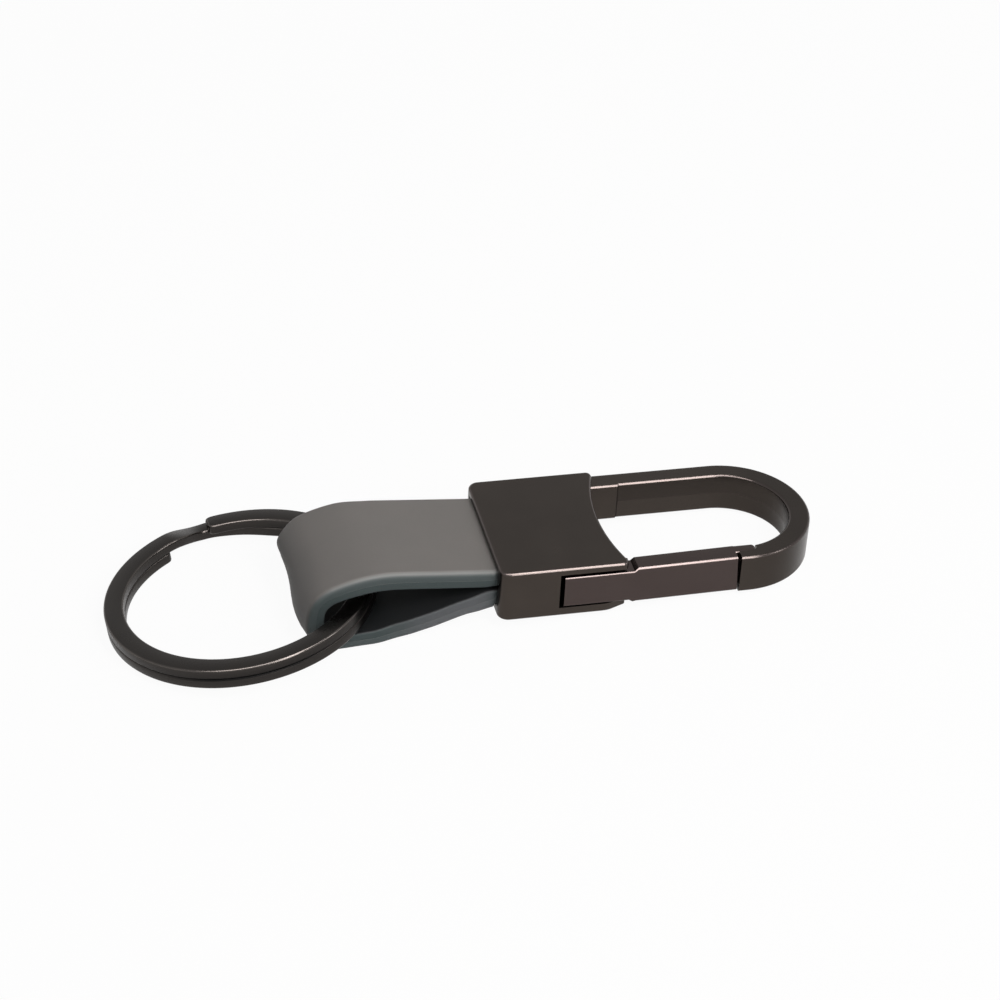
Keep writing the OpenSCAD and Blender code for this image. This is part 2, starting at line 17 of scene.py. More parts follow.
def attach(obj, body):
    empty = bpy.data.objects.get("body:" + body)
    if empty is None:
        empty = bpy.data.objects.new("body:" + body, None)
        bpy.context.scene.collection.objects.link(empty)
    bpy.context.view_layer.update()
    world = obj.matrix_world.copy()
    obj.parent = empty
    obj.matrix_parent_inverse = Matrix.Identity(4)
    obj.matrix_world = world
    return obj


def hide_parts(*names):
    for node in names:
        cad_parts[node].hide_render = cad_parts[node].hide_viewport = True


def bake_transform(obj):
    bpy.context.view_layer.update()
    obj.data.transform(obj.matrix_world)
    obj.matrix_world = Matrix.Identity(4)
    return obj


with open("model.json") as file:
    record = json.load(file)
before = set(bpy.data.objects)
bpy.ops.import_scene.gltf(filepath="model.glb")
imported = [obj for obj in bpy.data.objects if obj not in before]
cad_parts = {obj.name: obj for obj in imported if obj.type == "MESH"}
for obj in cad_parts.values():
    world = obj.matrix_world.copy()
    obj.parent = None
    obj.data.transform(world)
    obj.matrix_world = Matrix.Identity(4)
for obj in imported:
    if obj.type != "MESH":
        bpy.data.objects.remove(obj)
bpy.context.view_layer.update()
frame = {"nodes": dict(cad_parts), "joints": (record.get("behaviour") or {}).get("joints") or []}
nodes = frame["nodes"]

# %% [markdown]
# ## The clip's own frame
#
# The clip lies a few degrees nose down, so its parts are easier to describe in a frame of
# their own: X runs from the strap's mouth to the hook's end, Y across and Z up through
# the thickness. The gate's hinge stands upright in that frame, so its axis gives the tilt
# and its place gives the zero point. Two helpers go to the shared frame and back, and a
# third is the smooth step that fades a shape or a mark in and out.

# %% Where the clip lies
MM = 0.001
joints = {joint["name"]: joint for joint in frame["joints"]}
pivot_x, pivot_y = 10.15, -7.85
clip_tilt = math.asin(joints["gate_hinge"]["axis"][0])
pivot_turned = Vector((pivot_x * math.cos(clip_tilt), pivot_y, -pivot_x * math.sin(clip_tilt)))
clip_zero = Vector(joints["gate_hinge"]["pos_m"]) - pivot_turned * MM
print("the clip lies", round(math.degrees(clip_tilt), 2), "degrees nose down")


# %% To the shared frame and back
def to_frame(x, y, z):
    """A point in the clip's own millimetres, turned and moved to the frame."""
    c, s = math.cos(clip_tilt), math.sin(clip_tilt)
    return clip_zero + Vector((x * c + z * s, y, z * c - x * s)) * MM


def clip_place(point):
    """A point of the frame in the clip's own millimetres."""
    away = (point - clip_zero) / MM
    c, s = math.cos(clip_tilt), math.sin(clip_tilt)
    return Vector((away.x * c - away.z * s, away.y, away.x * s + away.z * c))


def fade(value, start, end):
    """A smooth step from 0 at start to 1 at end; start may be the larger one."""
    t = min(1, max(0, (value - start) / (end - start)))
    return t * t * (3 - 2 * t)


clip_length = 42.2
print("the hook's end stands at", [round(v / MM, 2) for v in to_frame(clip_length, 0, 0)], "mm")

# %% [markdown]
# ## Camera
#
# The photograph looks down at the clip from the gate's side with a long lens. The
# camera's place and its turn were worked out from the hook's outline, so the same lens
# and the same small shift give the same picture.

# %% Place the camera
from_clip = Vector((-55.542, -276.243, 209.68))
turned_by = (53.325, 1.376, -12.396)
sight = bpy.data.cameras.new("sight")
sight.lens = 101.09
sight.sensor_width = 36
sight.shift_x = 0.0175
sight.shift_y = 0.0503
sight.clip_start = 0.01
sight.clip_end = 20
camera = bpy.data.objects.new("camera", sight)
camera.location = clip_zero + from_clip * MM
camera.rotation_euler = [math.radians(turn) for turn in turned_by]
bpy.context.scene.collection.objects.link(camera)
bpy.context.scene.camera = camera
bpy.context.scene.view_settings.view_transform = "Standard"
print("camera stands", round(camera.location.length, 3), "m from the origin")

# %% [markdown]
# ## Small helpers for node trees
#
# Every finish below is a tree of nodes. A few helpers keep the cells short: they add a
# node and fill in its values, link two sockets, do a sum, mix two colours and read a mark
# that the mesh carries. An output is passed on as a pair of node and socket, and a socket
# may be named by its label or by its number, because some nodes repeat a label.


# %% Helpers for nodes
def add(tree, kind, values=None, **settings):
    node = tree.nodes.new(kind)
    for name, value in settings.items():
        setattr(node, name, value)
    for name, value in (values or {}).items():
        node.inputs[name].default_value = value
    return node


def join(tree, start, end):
    """Link one output to one input, each given as (node, socket)."""
    tree.links.new(start[0].outputs[start[1]], end[0].inputs[end[1]])


def math_node(tree, operation, first, second=None, third=None):
    """A Math node whose inputs are numbers or (node, socket) pairs."""
    node = add(tree, "ShaderNodeMath", operation=operation)
    for place, value in enumerate((first, second, third)):
        if isinstance(value, tuple):
            join(tree, value, (node, place))
        elif value is not None:
            node.inputs[place].default_value = value
    return (node, 0)


def mix(tree, share, first, second):
    """Mix two colours, each given as (r, g, b) or as a (node, socket) pair."""
    node = add(tree, "ShaderNodeMix", data_type="RGBA")
    join(tree, share, (node, 0))
    for place, colour in ((6, first), (7, second)):
        if len(colour) == 3:
            node.inputs[place].default_value = (*colour, 1)
        else:
            join(tree, colour, (node, place))
    return (node, 2)


def mark_on(tree, name):
    """A mark from 0 to 1 that the mesh carries as an attribute."""
    return (add(tree, "ShaderNodeAttribute", attribute_name=name), "Fac")


def shade(name):
    """A material with its Principled BSDF and the piece's own coordinates."""
    material = bpy.data.materials.new(name)
    material.use_nodes = True
    tree = material.node_tree
    return material, tree, tree.nodes["Principled BSDF"], add(tree, "ShaderNodeTexCoord")


# %% [markdown]
# ## Floor, world and lamps
#
# A pale floor and a pale world stand for the white table of the photograph. Light Path
# makes both white where the camera looks at them, and leaves the lamps in charge of how
# bright the object is. The floor keeps a small share of its own shading, so the object's
# soft shadow stays. What the dark metal mirrors decides how it looks, so for mirrored
# rays the floor keeps more of its shadows, and the world is a little darker overhead than
# at the horizon, as a room is. Three strips around the main lamp are seen by shiny
# surfaces only: they draw the light line along the round edges as wide as it really is.

# %% Floor
floor_mesh = bpy.data.meshes.new("floor")
floor_mesh.from_pydata([(-3, -3, 0), (3, -3, 0), (3, 3, 0), (-3, 3, 0)], [], [(0, 1, 2, 3)])
floor = bpy.data.objects.new("floor", floor_mesh)
bpy.context.scene.collection.objects.link(floor)
pale, tree, surface, _ = shade("pale_table")
surface.inputs["Base Color"].default_value = (0.9, 0.9, 0.9, 1)
surface.inputs["Roughness"].default_value = 0.9
path = add(tree, "ShaderNodeLightPath")
mirrored = math_node(tree, "MAXIMUM", (path, "Is Glossy Ray"), (path, "Is Transmission Ray"))
share = math_node(tree, "MULTIPLY", mirrored, 0.45)
share = math_node(tree, "MULTIPLY_ADD", (path, "Is Camera Ray"), 0.95, share)
glow = add(tree, "ShaderNodeEmission", {"Color": (1, 1, 1, 1), "Strength": 1.0})
blend = add(tree, "ShaderNodeMixShader")
join(tree, share, (blend, 0))
join(tree, (surface, 0), (blend, 1))
join(tree, (glow, 0), (blend, 2))
join(tree, (blend, 0), (tree.nodes["Material Output"], 0))
floor_mesh.materials.append(pale)

# %% World
world = bpy.data.worlds.new("studio")
world.use_nodes = True
bpy.context.scene.world = world
tree = world.node_tree
tree.nodes.clear()
path = add(tree, "ShaderNodeLightPath")
mirrored = math_node(tree, "MAXIMUM", (path, "Is Glossy Ray"), (path, "Is Transmission Ray"))
towards = add(tree, "ShaderNodeSeparateXYZ")
join(tree, (add(tree, "ShaderNodeTexCoord"), "Generated"), (towards, 0))
overhead = add(tree, "ShaderNodeMapRange", {"From Max": 0.6, "To Min": 1.0, "To Max": 0.55})
join(tree, (towards, 2), (overhead, 0))
room_light = 0.24
level = math_node(tree, "MULTIPLY_ADD", (path, "Is Camera Ray"), 1 - room_light, room_light)
extra = math_node(tree, "SUBTRACT", (overhead, 0), room_light)
level = math_node(tree, "MULTIPLY_ADD", mirrored, extra, level)
sky = add(tree, "ShaderNodeBackground", {"Color": (1, 1, 1, 1)})
join(tree, level, (sky, "Strength"))
join(tree, (sky, 0), (add(tree, "ShaderNodeOutputWorld"), 0))


# %% Lamps
lamp_distance = 0.72
warm_white = (1, 0.97, 0.96)


def softbox(name, towards, size, power, distance=lamp_distance, colour=warm_white):
    """A rectangular lamp that stands in a direction and looks at the object."""
    lamp = bpy.data.lights.new(name, "AREA")
    lamp.shape = "RECTANGLE"
    lamp.size, lamp.size_y = size
    lamp.energy = power
    lamp.color = colour
    holder = bpy.data.objects.new(name, lamp)
    holder.location = Vector(towards).normalized() * distance
    holder.rotation_euler = Vector(towards).to_track_quat("Z", "Y").to_euler()
    bpy.context.scene.collection.objects.link(holder)
    return holder


softbox("key_lamp", (0.31, -0.62, 0.72), (0.17, 0.5), 3.3)
softbox("side_lamp", (0.77, -0.38, 0.51), (0.14, 0.26), 0.9, distance=0.8, colour=(1, 1, 1))
for strip in (softbox("low_strip", (0.3, -0.92, 0.24), (0.16, 0.36), 1.6),
              softbox("high_strip", (0.26, -0.16, 0.95), (0.16, 0.36), 1.6),
              softbox("left_strip", (-0.23, -0.57, 0.79), (0.56, 0.26), 4.2)):
    strip.visible_diffuse = False
print("floor, world, 2 lamps and 3 strips stand")

# %% [markdown]
# ## Shared effects
#
# Two effects come back in several finishes. Fine grain is a bump height and a light
# mottle of the colour, for leather and for the skin of a casting. Both read the piece's
# own coordinates, so the pattern stays on the piece when it moves.


# %% A group for fine grain
def group_tree(name, wanted, given):
    tree = bpy.data.node_groups.new(name, "ShaderNodeTree")
    for label, kind, value in wanted:
        socket = tree.interface.new_socket(name=label, in_out="INPUT", socket_type=kind)
        if value is not None:
            socket.default_value = value
    for label, kind in given:
        tree.interface.new_socket(name=label, in_out="OUTPUT", socket_type=kind)
    return tree, tree.nodes.new("NodeGroupInput"), tree.nodes.new("NodeGroupOutput")


grain, enter, leave = group_tree(
    "fine_grain",
    [("Coordinates", "NodeSocketVector", None), ("Pebble size", "NodeSocketFloat", 0.0005),
     ("Patch size", "NodeSocketFloat", 0.01)],
    [("Height", "NodeSocketFloat"), ("Patch", "NodeSocketFloat")])
per_pebble = math_node(grain, "DIVIDE", 1.0, (enter, "Pebble size"))
pebbles = add(grain, "ShaderNodeTexVoronoi", {"Randomness": 0.9}, feature="SMOOTH_F1")
join(grain, (enter, "Coordinates"), (pebbles, "Vector"))
join(grain, per_pebble, (pebbles, "Scale"))
pores = add(grain, "ShaderNodeTexNoise", {"Detail": 4.0, "Roughness": 0.6})
join(grain, (enter, "Coordinates"), (pores, "Vector"))
join(grain, math_node(grain, "MULTIPLY", per_pebble, 1.7), (pores, "Scale"))
height = math_node(grain, "MULTIPLY", (pebbles, "Distance"), -0.6)
height = math_node(grain, "ADD", height, (pores, 0))
join(grain, height, (leave, "Height"))
patches = add(grain, "ShaderNodeTexNoise", {"Detail": 3.0})
join(grain, (enter, "Coordinates"), (patches, "Vector"))
join(grain, math_node(grain, "DIVIDE", 1.0, (enter, "Patch size")), (patches, "Scale"))
join(grain, (patches, 0), (leave, "Patch"))


# %% [markdown]
# Polished edges are the second effect. Pockets and fingers rub plated metal along its
# edges, where it turns lighter and smoother, though not evenly. The mesh marks its round
# edges with an attribute, and the group breaks that mark up with a noise.

# %% A group for polished edges
polish, enter, leave = group_tree(
    "polished_edges",
    [("Coordinates", "NodeSocketVector", None), ("Marked", "NodeSocketFloat", 0.0),
     ("Patch size", "NodeSocketFloat", 0.003)],
    [("Mask", "NodeSocketFloat")])
rubbed = add(polish, "ShaderNodeTexNoise", {"Detail": 3.0, "Roughness": 0.55})
join(polish, (enter, "Coordinates"), (rubbed, "Vector"))
join(polish, math_node(polish, "DIVIDE", 1.0, (enter, "Patch size")), (rubbed, "Scale"))
uneven = math_node(polish, "MULTIPLY_ADD", (rubbed, 0), 1.1, 0.35)
strength = math_node(polish, "MULTIPLY", (enter, "Marked"), uneven)
edge_mask = add(polish, "ShaderNodeMapRange", {"From Min": 0.15, "From Max": 0.95},
                interpolation_type="SMOOTHSTEP")
join(polish, strength, (edge_mask, 0))
join(polish, (edge_mask, 0), (leave, "Mask"))

# %% [markdown]
# ## Metal finishes
#
# The hook, its gate and the ring share a dark plated finish: nearly black metal with a
# satin surface that reflects softly. A slight mottle in the roughness and the colour
# keeps it from looking like plastic, and the round edges are a little lighter and
# smoother. Where shade falls, between the ring's turns and in the hook's corners, a mark
# on the mesh paints the colour darker and the surface rougher: this is painted shade,
# not dirt. The hook is also painted a little darker towards its round end, as painted
# shade. The pins and the spring are plain steel.


# %% Plated metal
def grained(tree, surface, where, pebble, patch, bump):
    """Give a surface the fine grain's bump, and return the output of its slow patches."""
    sizes = {"Pebble size": pebble, "Patch size": patch}
    skin = add(tree, "ShaderNodeGroup", sizes, node_tree=grain)
    join(tree, (where, "Object"), (skin, "Coordinates"))
    dents = add(tree, "ShaderNodeBump", {"Strength": 1.0, "Distance": bump})
    join(tree, (skin, "Height"), (dents, "Height"))
    join(tree, (dents, 0), (surface, "Normal"))
    return (skin, "Patch")


# where the hook's end is painted darker, and the colour of all painted shade on the metal
end_shade_from, end_shade_to = 0.031, 0.042
painted_shade_colour = (0.006, 0.006, 0.006)


def plated(name, dark, light, worn, rough, bump, end_shade=0.0):
    """Metal that is worn along its edges, with painted shade where marked and towards one end."""
    material, tree, surface, where = shade(name)
    patch = grained(tree, surface, where, 0.00035, 0.006, bump)
    edges = add(tree, "ShaderNodeGroup", node_tree=polish)
    join(tree, (where, "Object"), (edges, "Coordinates"))
    join(tree, mark_on(tree, "worn_edge"), (edges, "Marked"))
    colour = mix(tree, (edges, "Mask"), mix(tree, patch, dark, light), worn)
    # painted shade: a mark that darkens and roughens the metal where shade falls
    painted_shade = mark_on(tree, "painted_shade")
    darker = painted_shade
    # painted shade towards the hook's round end
    if end_shade:
        spot = add(tree, "ShaderNodeSeparateXYZ")
        join(tree, (where, "Object"), (spot, 0))
        reach = {"From Min": end_shade_from, "From Max": end_shade_to, "To Max": end_shade}
        towards_end = add(tree, "ShaderNodeMapRange", reach, interpolation_type="SMOOTHSTEP")
        join(tree, (spot, 0), (towards_end, 0))
        darker = math_node(tree, "MAXIMUM", painted_shade, (towards_end, 0))
    join(tree, mix(tree, darker, colour, painted_shade_colour), (surface, "Base Color"))
    gloss = add(tree, "ShaderNodeMapRange", {"To Min": rough - 0.04, "To Max": rough + 0.05})
    join(tree, patch, (gloss, 0))
    satin = math_node(tree, "MULTIPLY_ADD", (edges, "Mask"), -0.05, (gloss, 0))
    join(tree, math_node(tree, "MULTIPLY_ADD", painted_shade, 0.3, satin), (surface, "Roughness"))
    surface.inputs["Metallic"].default_value = 1.0
    return material


# %% The metals
body_metal = plated("plated_hook", dark=(0.057, 0.048, 0.042), light=(0.071, 0.059, 0.051),
                    worn=(0.1, 0.084, 0.079), rough=0.25, bump=0.000002, end_shade=0.22)
gate_metal = plated("plated_gate", dark=(0.072, 0.056, 0.0525), light=(0.088, 0.068, 0.064),
                    worn=(0.115, 0.094, 0.09), rough=0.24, bump=0.000002)
ring_metal = plated("plated_ring", dark=(0.044, 0.04, 0.038), light=(0.055, 0.05, 0.046),
                    worn=(0.1, 0.09, 0.084), rough=0.27, bump=0.000003)
pin_metal = plated("pin_steel", dark=(0.45, 0.45, 0.46), light=(0.55, 0.55, 0.56),
                   worn=(0.6, 0.6, 0.6), rough=0.32, bump=0.000003)
spring_metal = plated("spring_steel", dark=(0.48, 0.48, 0.5), light=(0.58, 0.58, 0.6),
                      worn=(0.6, 0.6, 0.6), rough=0.3, bump=0.000002)
metals = {"clip_body": body_metal, "gate": gate_metal, "split_ring": ring_metal,
          "gate_pin": pin_metal, "strap_pins": pin_metal, "gate_spring": spring_metal}
for name, material in metals.items():
    nodes[name].data.materials.clear()
    nodes[name].data.materials.append(material)
print("metals:", ", ".join(f"{material.name} on {name}" for name, material in metals.items()))

# %% [markdown]
# ## Smooth castings
#
# The hook and the gate are castings whose edges are rounded by about a third of a
# millimetre. The CAD mesh has the right shape, but each rounding is a few flat strips,
# and they would show. So a copy is made: its doubles are merged, its flat faces are joined
# again, and its normals are weighted by the size of the faces, which makes the strips
# shade as one round edge. The same strips tell where an edge is worn: a face corner is
# marked where neighbouring strips meet at a small outward bend. The mould's parting
# line along the hook's inside stays a crisp line, with the half above it painted a little
# darker and rougher as painted shade, and a line of painted shade sits in the corner where
# the fixed arm grows thicker towards the block.


# %% Copy, shade and mark
def evaluated_copy(piece):
    """The piece's mesh after its modifiers, as a plain mesh of its own."""
    bpy.context.view_layer.update()
    result = piece.evaluated_get(bpy.context.evaluated_depsgraph_get())
    mesh = bpy.data.meshes.new_from_object(result)
    piece.modifiers.clear()
    piece.data = mesh
    return piece


def shade_smoothly(piece, crease=50):
    """Shade a piece smoothly, with a sharp line at each crease, given in degrees."""
    for face in piece.data.polygons:
        face.use_smooth = True
    piece.data.set_sharp_from_angle(angle=math.radians(crease))


def bend_at(edge):
    """The outward bend between an edge's two faces, in degrees."""
    return math.degrees(edge.calc_face_angle_signed(0)) if edge.is_manifold else 90


round_from, sharp_from = 15, 35
seam_from, seam_to = 3, 8
root_end, shade_band_width = 19.3, 0.2
arm_from_y, arm_to_y, arm_half_thick = 6, 8, 2.6


def painted_shade_on(face):
    """How much painted shade a face of the hook gets: the root's corner most, above the parting
    line a little.
    """
    middle = clip_place(face.calc_center_median())
    beside_root = root_end < middle.x < root_end + 1.5 * shade_band_width
    on_arm = arm_from_y < middle.y < arm_to_y and abs(middle.z) < arm_half_thick
    if beside_root and on_arm:
        return 0.62
    looks_up = clip_place(clip_zero + face.normal * MM).z
    drafted = 0.02 < looks_up < 0.08
    return 0.16 if drafted and middle.z > 0 else 0.0


def mark_edges(piece, parting=False):
    """Mark the worn edges, keep the sharp ones sharp and make the rest shade smoothly."""
    shape = bmesh.new()
    shape.from_mesh(piece.data)
    marks = shape.loops.layers.float.new("worn_edge")
    if parting:
        # painted shade, stored on each face corner
        painted_shade = shape.loops.layers.float.new("painted_shade")
        for face in shape.faces:
            value = painted_shade_on(face)
            for corner in face.loops:
                corner[painted_shade] = value
    marked = 0
    for edge in shape.edges:
        bend = bend_at(edge)
        midway = all(abs(clip_place(vert.co).z) < 0.02 for vert in edge.verts)
        seam = parting and midway and seam_from < bend < seam_to
        edge.smooth = abs(bend) < sharp_from and not seam
        edge.tag = round_from < bend < sharp_from
        marked += edge.tag
    for face in shape.faces:
        face.smooth = True
        strip = any(edge.tag for edge in face.edges)
        for corner in face.loops:
            round_here = strip and any(edge.tag for edge in corner.vert.link_edges)
            corner[marks] = 1.0 if round_here else 0.0
    shape.to_mesh(piece.data)
    shape.free()
    even = piece.modifiers.new("even_shading", "WEIGHTED_NORMAL")
    even.keep_sharp = True
    print(piece.name, "has", marked, "round edges marked")
    return evaluated_copy(piece)


# %% Copy the two castings
def cut_shade_band(shape):
    """Cut a narrow band beside the thicker root, for the painted shade in its corner."""
    arm = [f for f in shape.faces if clip_place(f.calc_center_median()).y > arm_from_y]
    parts = set(arm) | {e for f in arm for e in f.edges} | {v for f in arm for v in f.verts}
    bmesh.ops.bisect_plane(shape, geom=list(parts), plane_co=to_frame(root_end + shade_band_width, 0, 0),
                           plane_no=to_frame(1, 0, 0) - clip_zero)


def longer_tongue(shape):
    """The tongue's tip reaches a little nearer to the end of its rebate."""
    tip_from, tip_to, longer_by = 31.95, 32.5, 0.17
    for vert in shape.verts:
        place = clip_place(vert.co)
        if place.x > tip_from:
            place.x += longer_by * fade(place.x, tip_from, tip_to)
            vert.co = to_frame(*place)


def casting(name, node, material, tweak):
    """A smooth copy of a cast CAD node, changed a little by a tweak before it is marked."""
    mesh = nodes[node].data.copy()
    shape = bmesh.new()
    shape.from_mesh(mesh)
    bmesh.ops.remove_doubles(shape, verts=shape.verts, dist=1e-6)
    bmesh.ops.dissolve_limit(shape, angle_limit=math.radians(0.4), verts=shape.verts,
                             edges=shape.edges)
    tweak(shape)
    shape.to_mesh(mesh)
    shape.free()
    mesh.materials.clear()
    mesh.materials.append(material)
    piece = bpy.data.objects.new(name, mesh)
    bpy.context.scene.collection.objects.link(piece)
    return mark_edges(piece, parting=True)


hook_piece = casting("cast_hook", "clip_body", body_metal, cut_shade_band)
gate_piece = casting("cast_gate", "gate", gate_metal, longer_tongue)
for piece in (hook_piece, gate_piece):
    print(piece.name, len(piece.data.polygons), "faces")

# %% [markdown]
# ## Leather
#
# The strap is two layers glued together: a smooth grey outer leather and a darker
# lining, with one painted edge over both. The colour of the edge is mixed in by an
# attribute that the mesh carries, which is 1 on the edge and 0 on the broad faces. The
# paint is a little duller than the face, and paler along the lower leaf. Where the upper
# leaf rounds into its edge, a paler rim is a painted highlight, and the fold is painted
# darker as painted shade. A fine grain gives the bump, and slow patches vary the colour
# and the gloss.


# %% Leather materials
upper_paint, lower_paint = (0.038, 0.053, 0.054), (0.082, 0.088, 0.094)
# colour of the painted highlight along the upper leaf's rounded edge
rim_highlight_colour = (0.166, 0.174, 0.167)


def leather(name, face, patchy, rough, shine):
    material, tree, surface, where = shade(name)
    patch = grained(tree, surface, where, 0.00028, 0.009, 0.00001)
    # the fold's mark darkens the face: painted shade
    broad = mix(tree, mark_on(tree, "painted_fold_shade"), mix(tree, patch, face, patchy), (0, 0, 0))
    painted = mark_on(tree, "painted_edge")
    paint = mix(tree, mark_on(tree, "lower_leaf"), upper_paint, lower_paint)
    colour = mix(tree, painted, broad, paint)
    # the rim's mark paints a highlight along the rounded edge
    join(tree, mix(tree, mark_on(tree, "painted_rim_highlight"), colour, rim_highlight_colour), (surface, "Base Color"))
    surface.inputs["Specular IOR Level"].default_value = shine
    gloss = add(tree, "ShaderNodeMapRange", {"To Min": rough - 0.08, "To Max": rough + 0.06})
    join(tree, patch, (gloss, 0))
    join(tree, math_node(tree, "MULTIPLY_ADD", painted, 0.06, (gloss, 0)), (surface, "Roughness"))
    return material


outer_leather = leather("smooth_leather", (0.18, 0.167, 0.156), (0.158, 0.15, 0.141), 0.55, 0.5)
inner_leather = leather("lining_leather", (0.003, 0.0042, 0.005), (0.006, 0.0075, 0.009), 0.6, 0.3)
print("leathers:", outer_leather.name, "and", inner_leather.name)

# %% [markdown]
# ## The strap's path
#
# The strap leaves the hook's block, rises a little, crowns over the ring, folds round,
# lies on the table and climbs back to the block. The path is a row of arcs and straight
# runs in the clip's own upright plane, with the same values as the CAD model. The fold
# reaches a little further at the far edge, by the skew. Each point carries its heading, so
# a layer can be laid at any distance.

# %% The strap's values, in millimetres and degrees
strap_width, strap_in = 16.4, 5.4
leather_thick, lining_thick, ends_apart = 1.2, 1.05, 0.6
both_thick = leather_thick + lining_thick
leaf_middle = (ends_apart + both_thick) / 2
rise, rise_length, fall, drop = 5, 11.3, 23, 16
bend_radius, crown_radius, fold_radius, sole_radius, belly_radius = 8, 17, 4.8, 2.3, 8
lie = math.degrees(clip_tilt)
fold_skew = 0.6


def ahead(heading):
    return Vector((math.cos(math.radians(heading)), math.sin(math.radians(heading))))


def arc_step(radius, heading, turn):
    """The move made by an arc that starts at a heading and turns by some degrees."""
    bend = math.copysign(radius, turn)
    a, b = math.radians(heading), math.radians(heading + turn)
    return Vector((bend * (math.sin(b) - math.sin(a)), bend * (math.cos(a) - math.cos(b))))


# %% [markdown]
# Three straight runs aren't free: the one down the fold's side has to end on the table,
# and the two below it have to lead back to the mouth. They are worked out by crossing
# what is left of the way with their two headings.


# %% Work out the closing runs
def closing_runs(fold_side):
    """The runs down the fold's side, along the table and back up, from the fold's side on."""
    sole = arc_step(sole_radius, 270, 90 + lie)
    bottom = fold_side + sole
    side = (to_frame(bottom.x, 0, bottom.y).z / MM - both_thick / 2) / math.cos(clip_tilt)
    mouth = Vector((0, -leaf_middle))
    arcs = arc_step(belly_radius, lie, drop - lie) + arc_step(bend_radius, drop, -drop)
    left = mouth - (bottom - Vector((0, side))) - arcs
    between = ahead(lie).cross(ahead(drop))
    return side, left.cross(ahead(drop)) / between, ahead(lie).cross(left) / between


def strap_moves(skew):
    """The path as (kind, length or radius, turn), with the fold moved along by a skew."""
    begin = [("run", strap_in, 0), ("arc", bend_radius, -rise), ("run", rise_length + skew, 0),
             ("arc", crown_radius, rise + fall), ("arc", fold_radius, 90 - fall)]
    place, heading = Vector((strap_in, leaf_middle)), 180
    for kind, size, turn in begin:
        place = place + (size * ahead(heading) if kind == "run" else arc_step(size, heading, turn))
        heading += turn
    side, along, back = closing_runs(place)
    return begin + [("run", side, 0), ("arc", sole_radius, 90 + lie), ("run", along, 0),
                    ("arc", belly_radius, drop - lie), ("run", back, 0),
                    ("arc", bend_radius, -drop), ("run", strap_in, 0)]


print("closing runs:", [round(size, 3) for kind, size, _ in strap_moves(0)[5:] if kind == "run"])


# %% Follow the path at both edges
def strap_path(skew, spacing=0.35):
    """Stations (place, heading), as many at every skew so that the edges pair up."""
    place, heading = Vector((strap_in, leaf_middle)), 180
    stations = [(place, heading)]
    for (kind, size, turn), (_, even_size, _) in zip(strap_moves(skew), strap_moves(0)):
        if kind == "run":
            count = max(1, round(even_size / spacing))
            steps = [(size * i / count * ahead(heading), 0) for i in range(1, count + 1)]
        else:
            count = max(3, round(size * math.radians(abs(turn)) / spacing))
            steps = [(arc_step(size, heading, turn * i / count), turn * i / count)
                     for i in range(1, count + 1)]
        stations += [(place + step, heading + turned) for step, turned in steps]
        place, heading = stations[-1]
    return stations


near_path, far_path = strap_path(0), strap_path(fold_skew)
print(len(near_path), "stations, the path ends at", round(near_path[-1][0].y, 3), "mm")


# %% [markdown]
# ## The strap's two layers
#
# A layer is a closed section carried along the path: broad faces above and below, and
# rounded painted edges at the sides. Each station joins the near and the far path. Over
# the fold the leather is drawn in a little at the middle of its width, as real leather
# is where it bends. One mesh function makes both layers, so they keep touching.


# %% Sections
def layer_section(low, high, low_round, high_round, across=14, steps=8):
    """Points (sideways, depth, painted, rim) round one layer; painted is 1 on the edges, rim a
    painted highlight.
    """
    half = strap_width / 2
    rim_tilt, rim_spread = 42, 15
    points = []
    for side_u, side_d, radius, start in ((1, 0, low_round, -90), (1, 1, high_round, 0),
                                          (-1, 1, high_round, 90), (-1, 0, low_round, 180)):
        for i in range(steps + 1):
            a = math.radians(start + 90 * i / steps)
            u = side_u * (half - radius) + radius * math.cos(a)
            depth = (high - radius if side_d else low + radius) + radius * math.sin(a)
            painted = min(1, max(0, abs(math.cos(a)) * 2.2 - 0.95))
            tilt = 90 - abs(math.degrees(math.asin(math.sin(a))))
            # the rim is a painted highlight where the outer face rounds into the edge
            rim = 0.0 if side_d else math.exp(-((tilt - rim_tilt) / rim_spread) ** 2)
            points.append((u, depth, painted, rim))
        if (side_u, side_d) in ((1, 1), (-1, 0)):
            points += [(u * (1 - 2 * i / across), depth, 0.0, 0.0) for i in range(1, across)]
    return points


def drawn_in(heading):
    """How much of the fold's hollow a station takes, from its heading."""
    share = min(1, max(0, (heading - 195) / 160))
    return math.sin(math.pi * share) ** 2


# %% [markdown]
# Worked leather isn't as regular as a path. It swells where it leaves the tight mouth,
# the lower leaf lies a little nearer to the viewer than the upper one, and the fold is
# rounder at some places across its width than at others. Each of these is a small move,
# faded in and out by smooth steps of the place along the strap and across it.


# %% The leather's own softness
def swelling(x, heading, layer_share):
    """Growth along the depth beside the mouth: inside on the upper leaf, outside below."""
    if heading < 270:
        return 0.2 * layer_share * fade(x, 0, -1.6) * fade(heading, 212, 190)
    beside_mouth = fade(x, 0, -0.4) * (0.26 + 0.35 * fade(x, -4.2, -1))
    on_lower_leaf = fade(heading, 340, 356) * fade(x, -17, -10.5)
    return -beside_mouth * (1 - layer_share) * on_lower_leaf


def lying(x, heading):
    """How far a station moves across, and how far it sags: the lower leaf does both."""
    low = fade(heading, 325, 358)
    nearer = (0.38 + 0.25 * fade(x, -12, -15)) * fade(x, -0.2, -3.2)
    sag = 0.24 * fade(x, -15, -10.5) * fade(x, -4, -8.5)
    return -nearer * low, sag * low


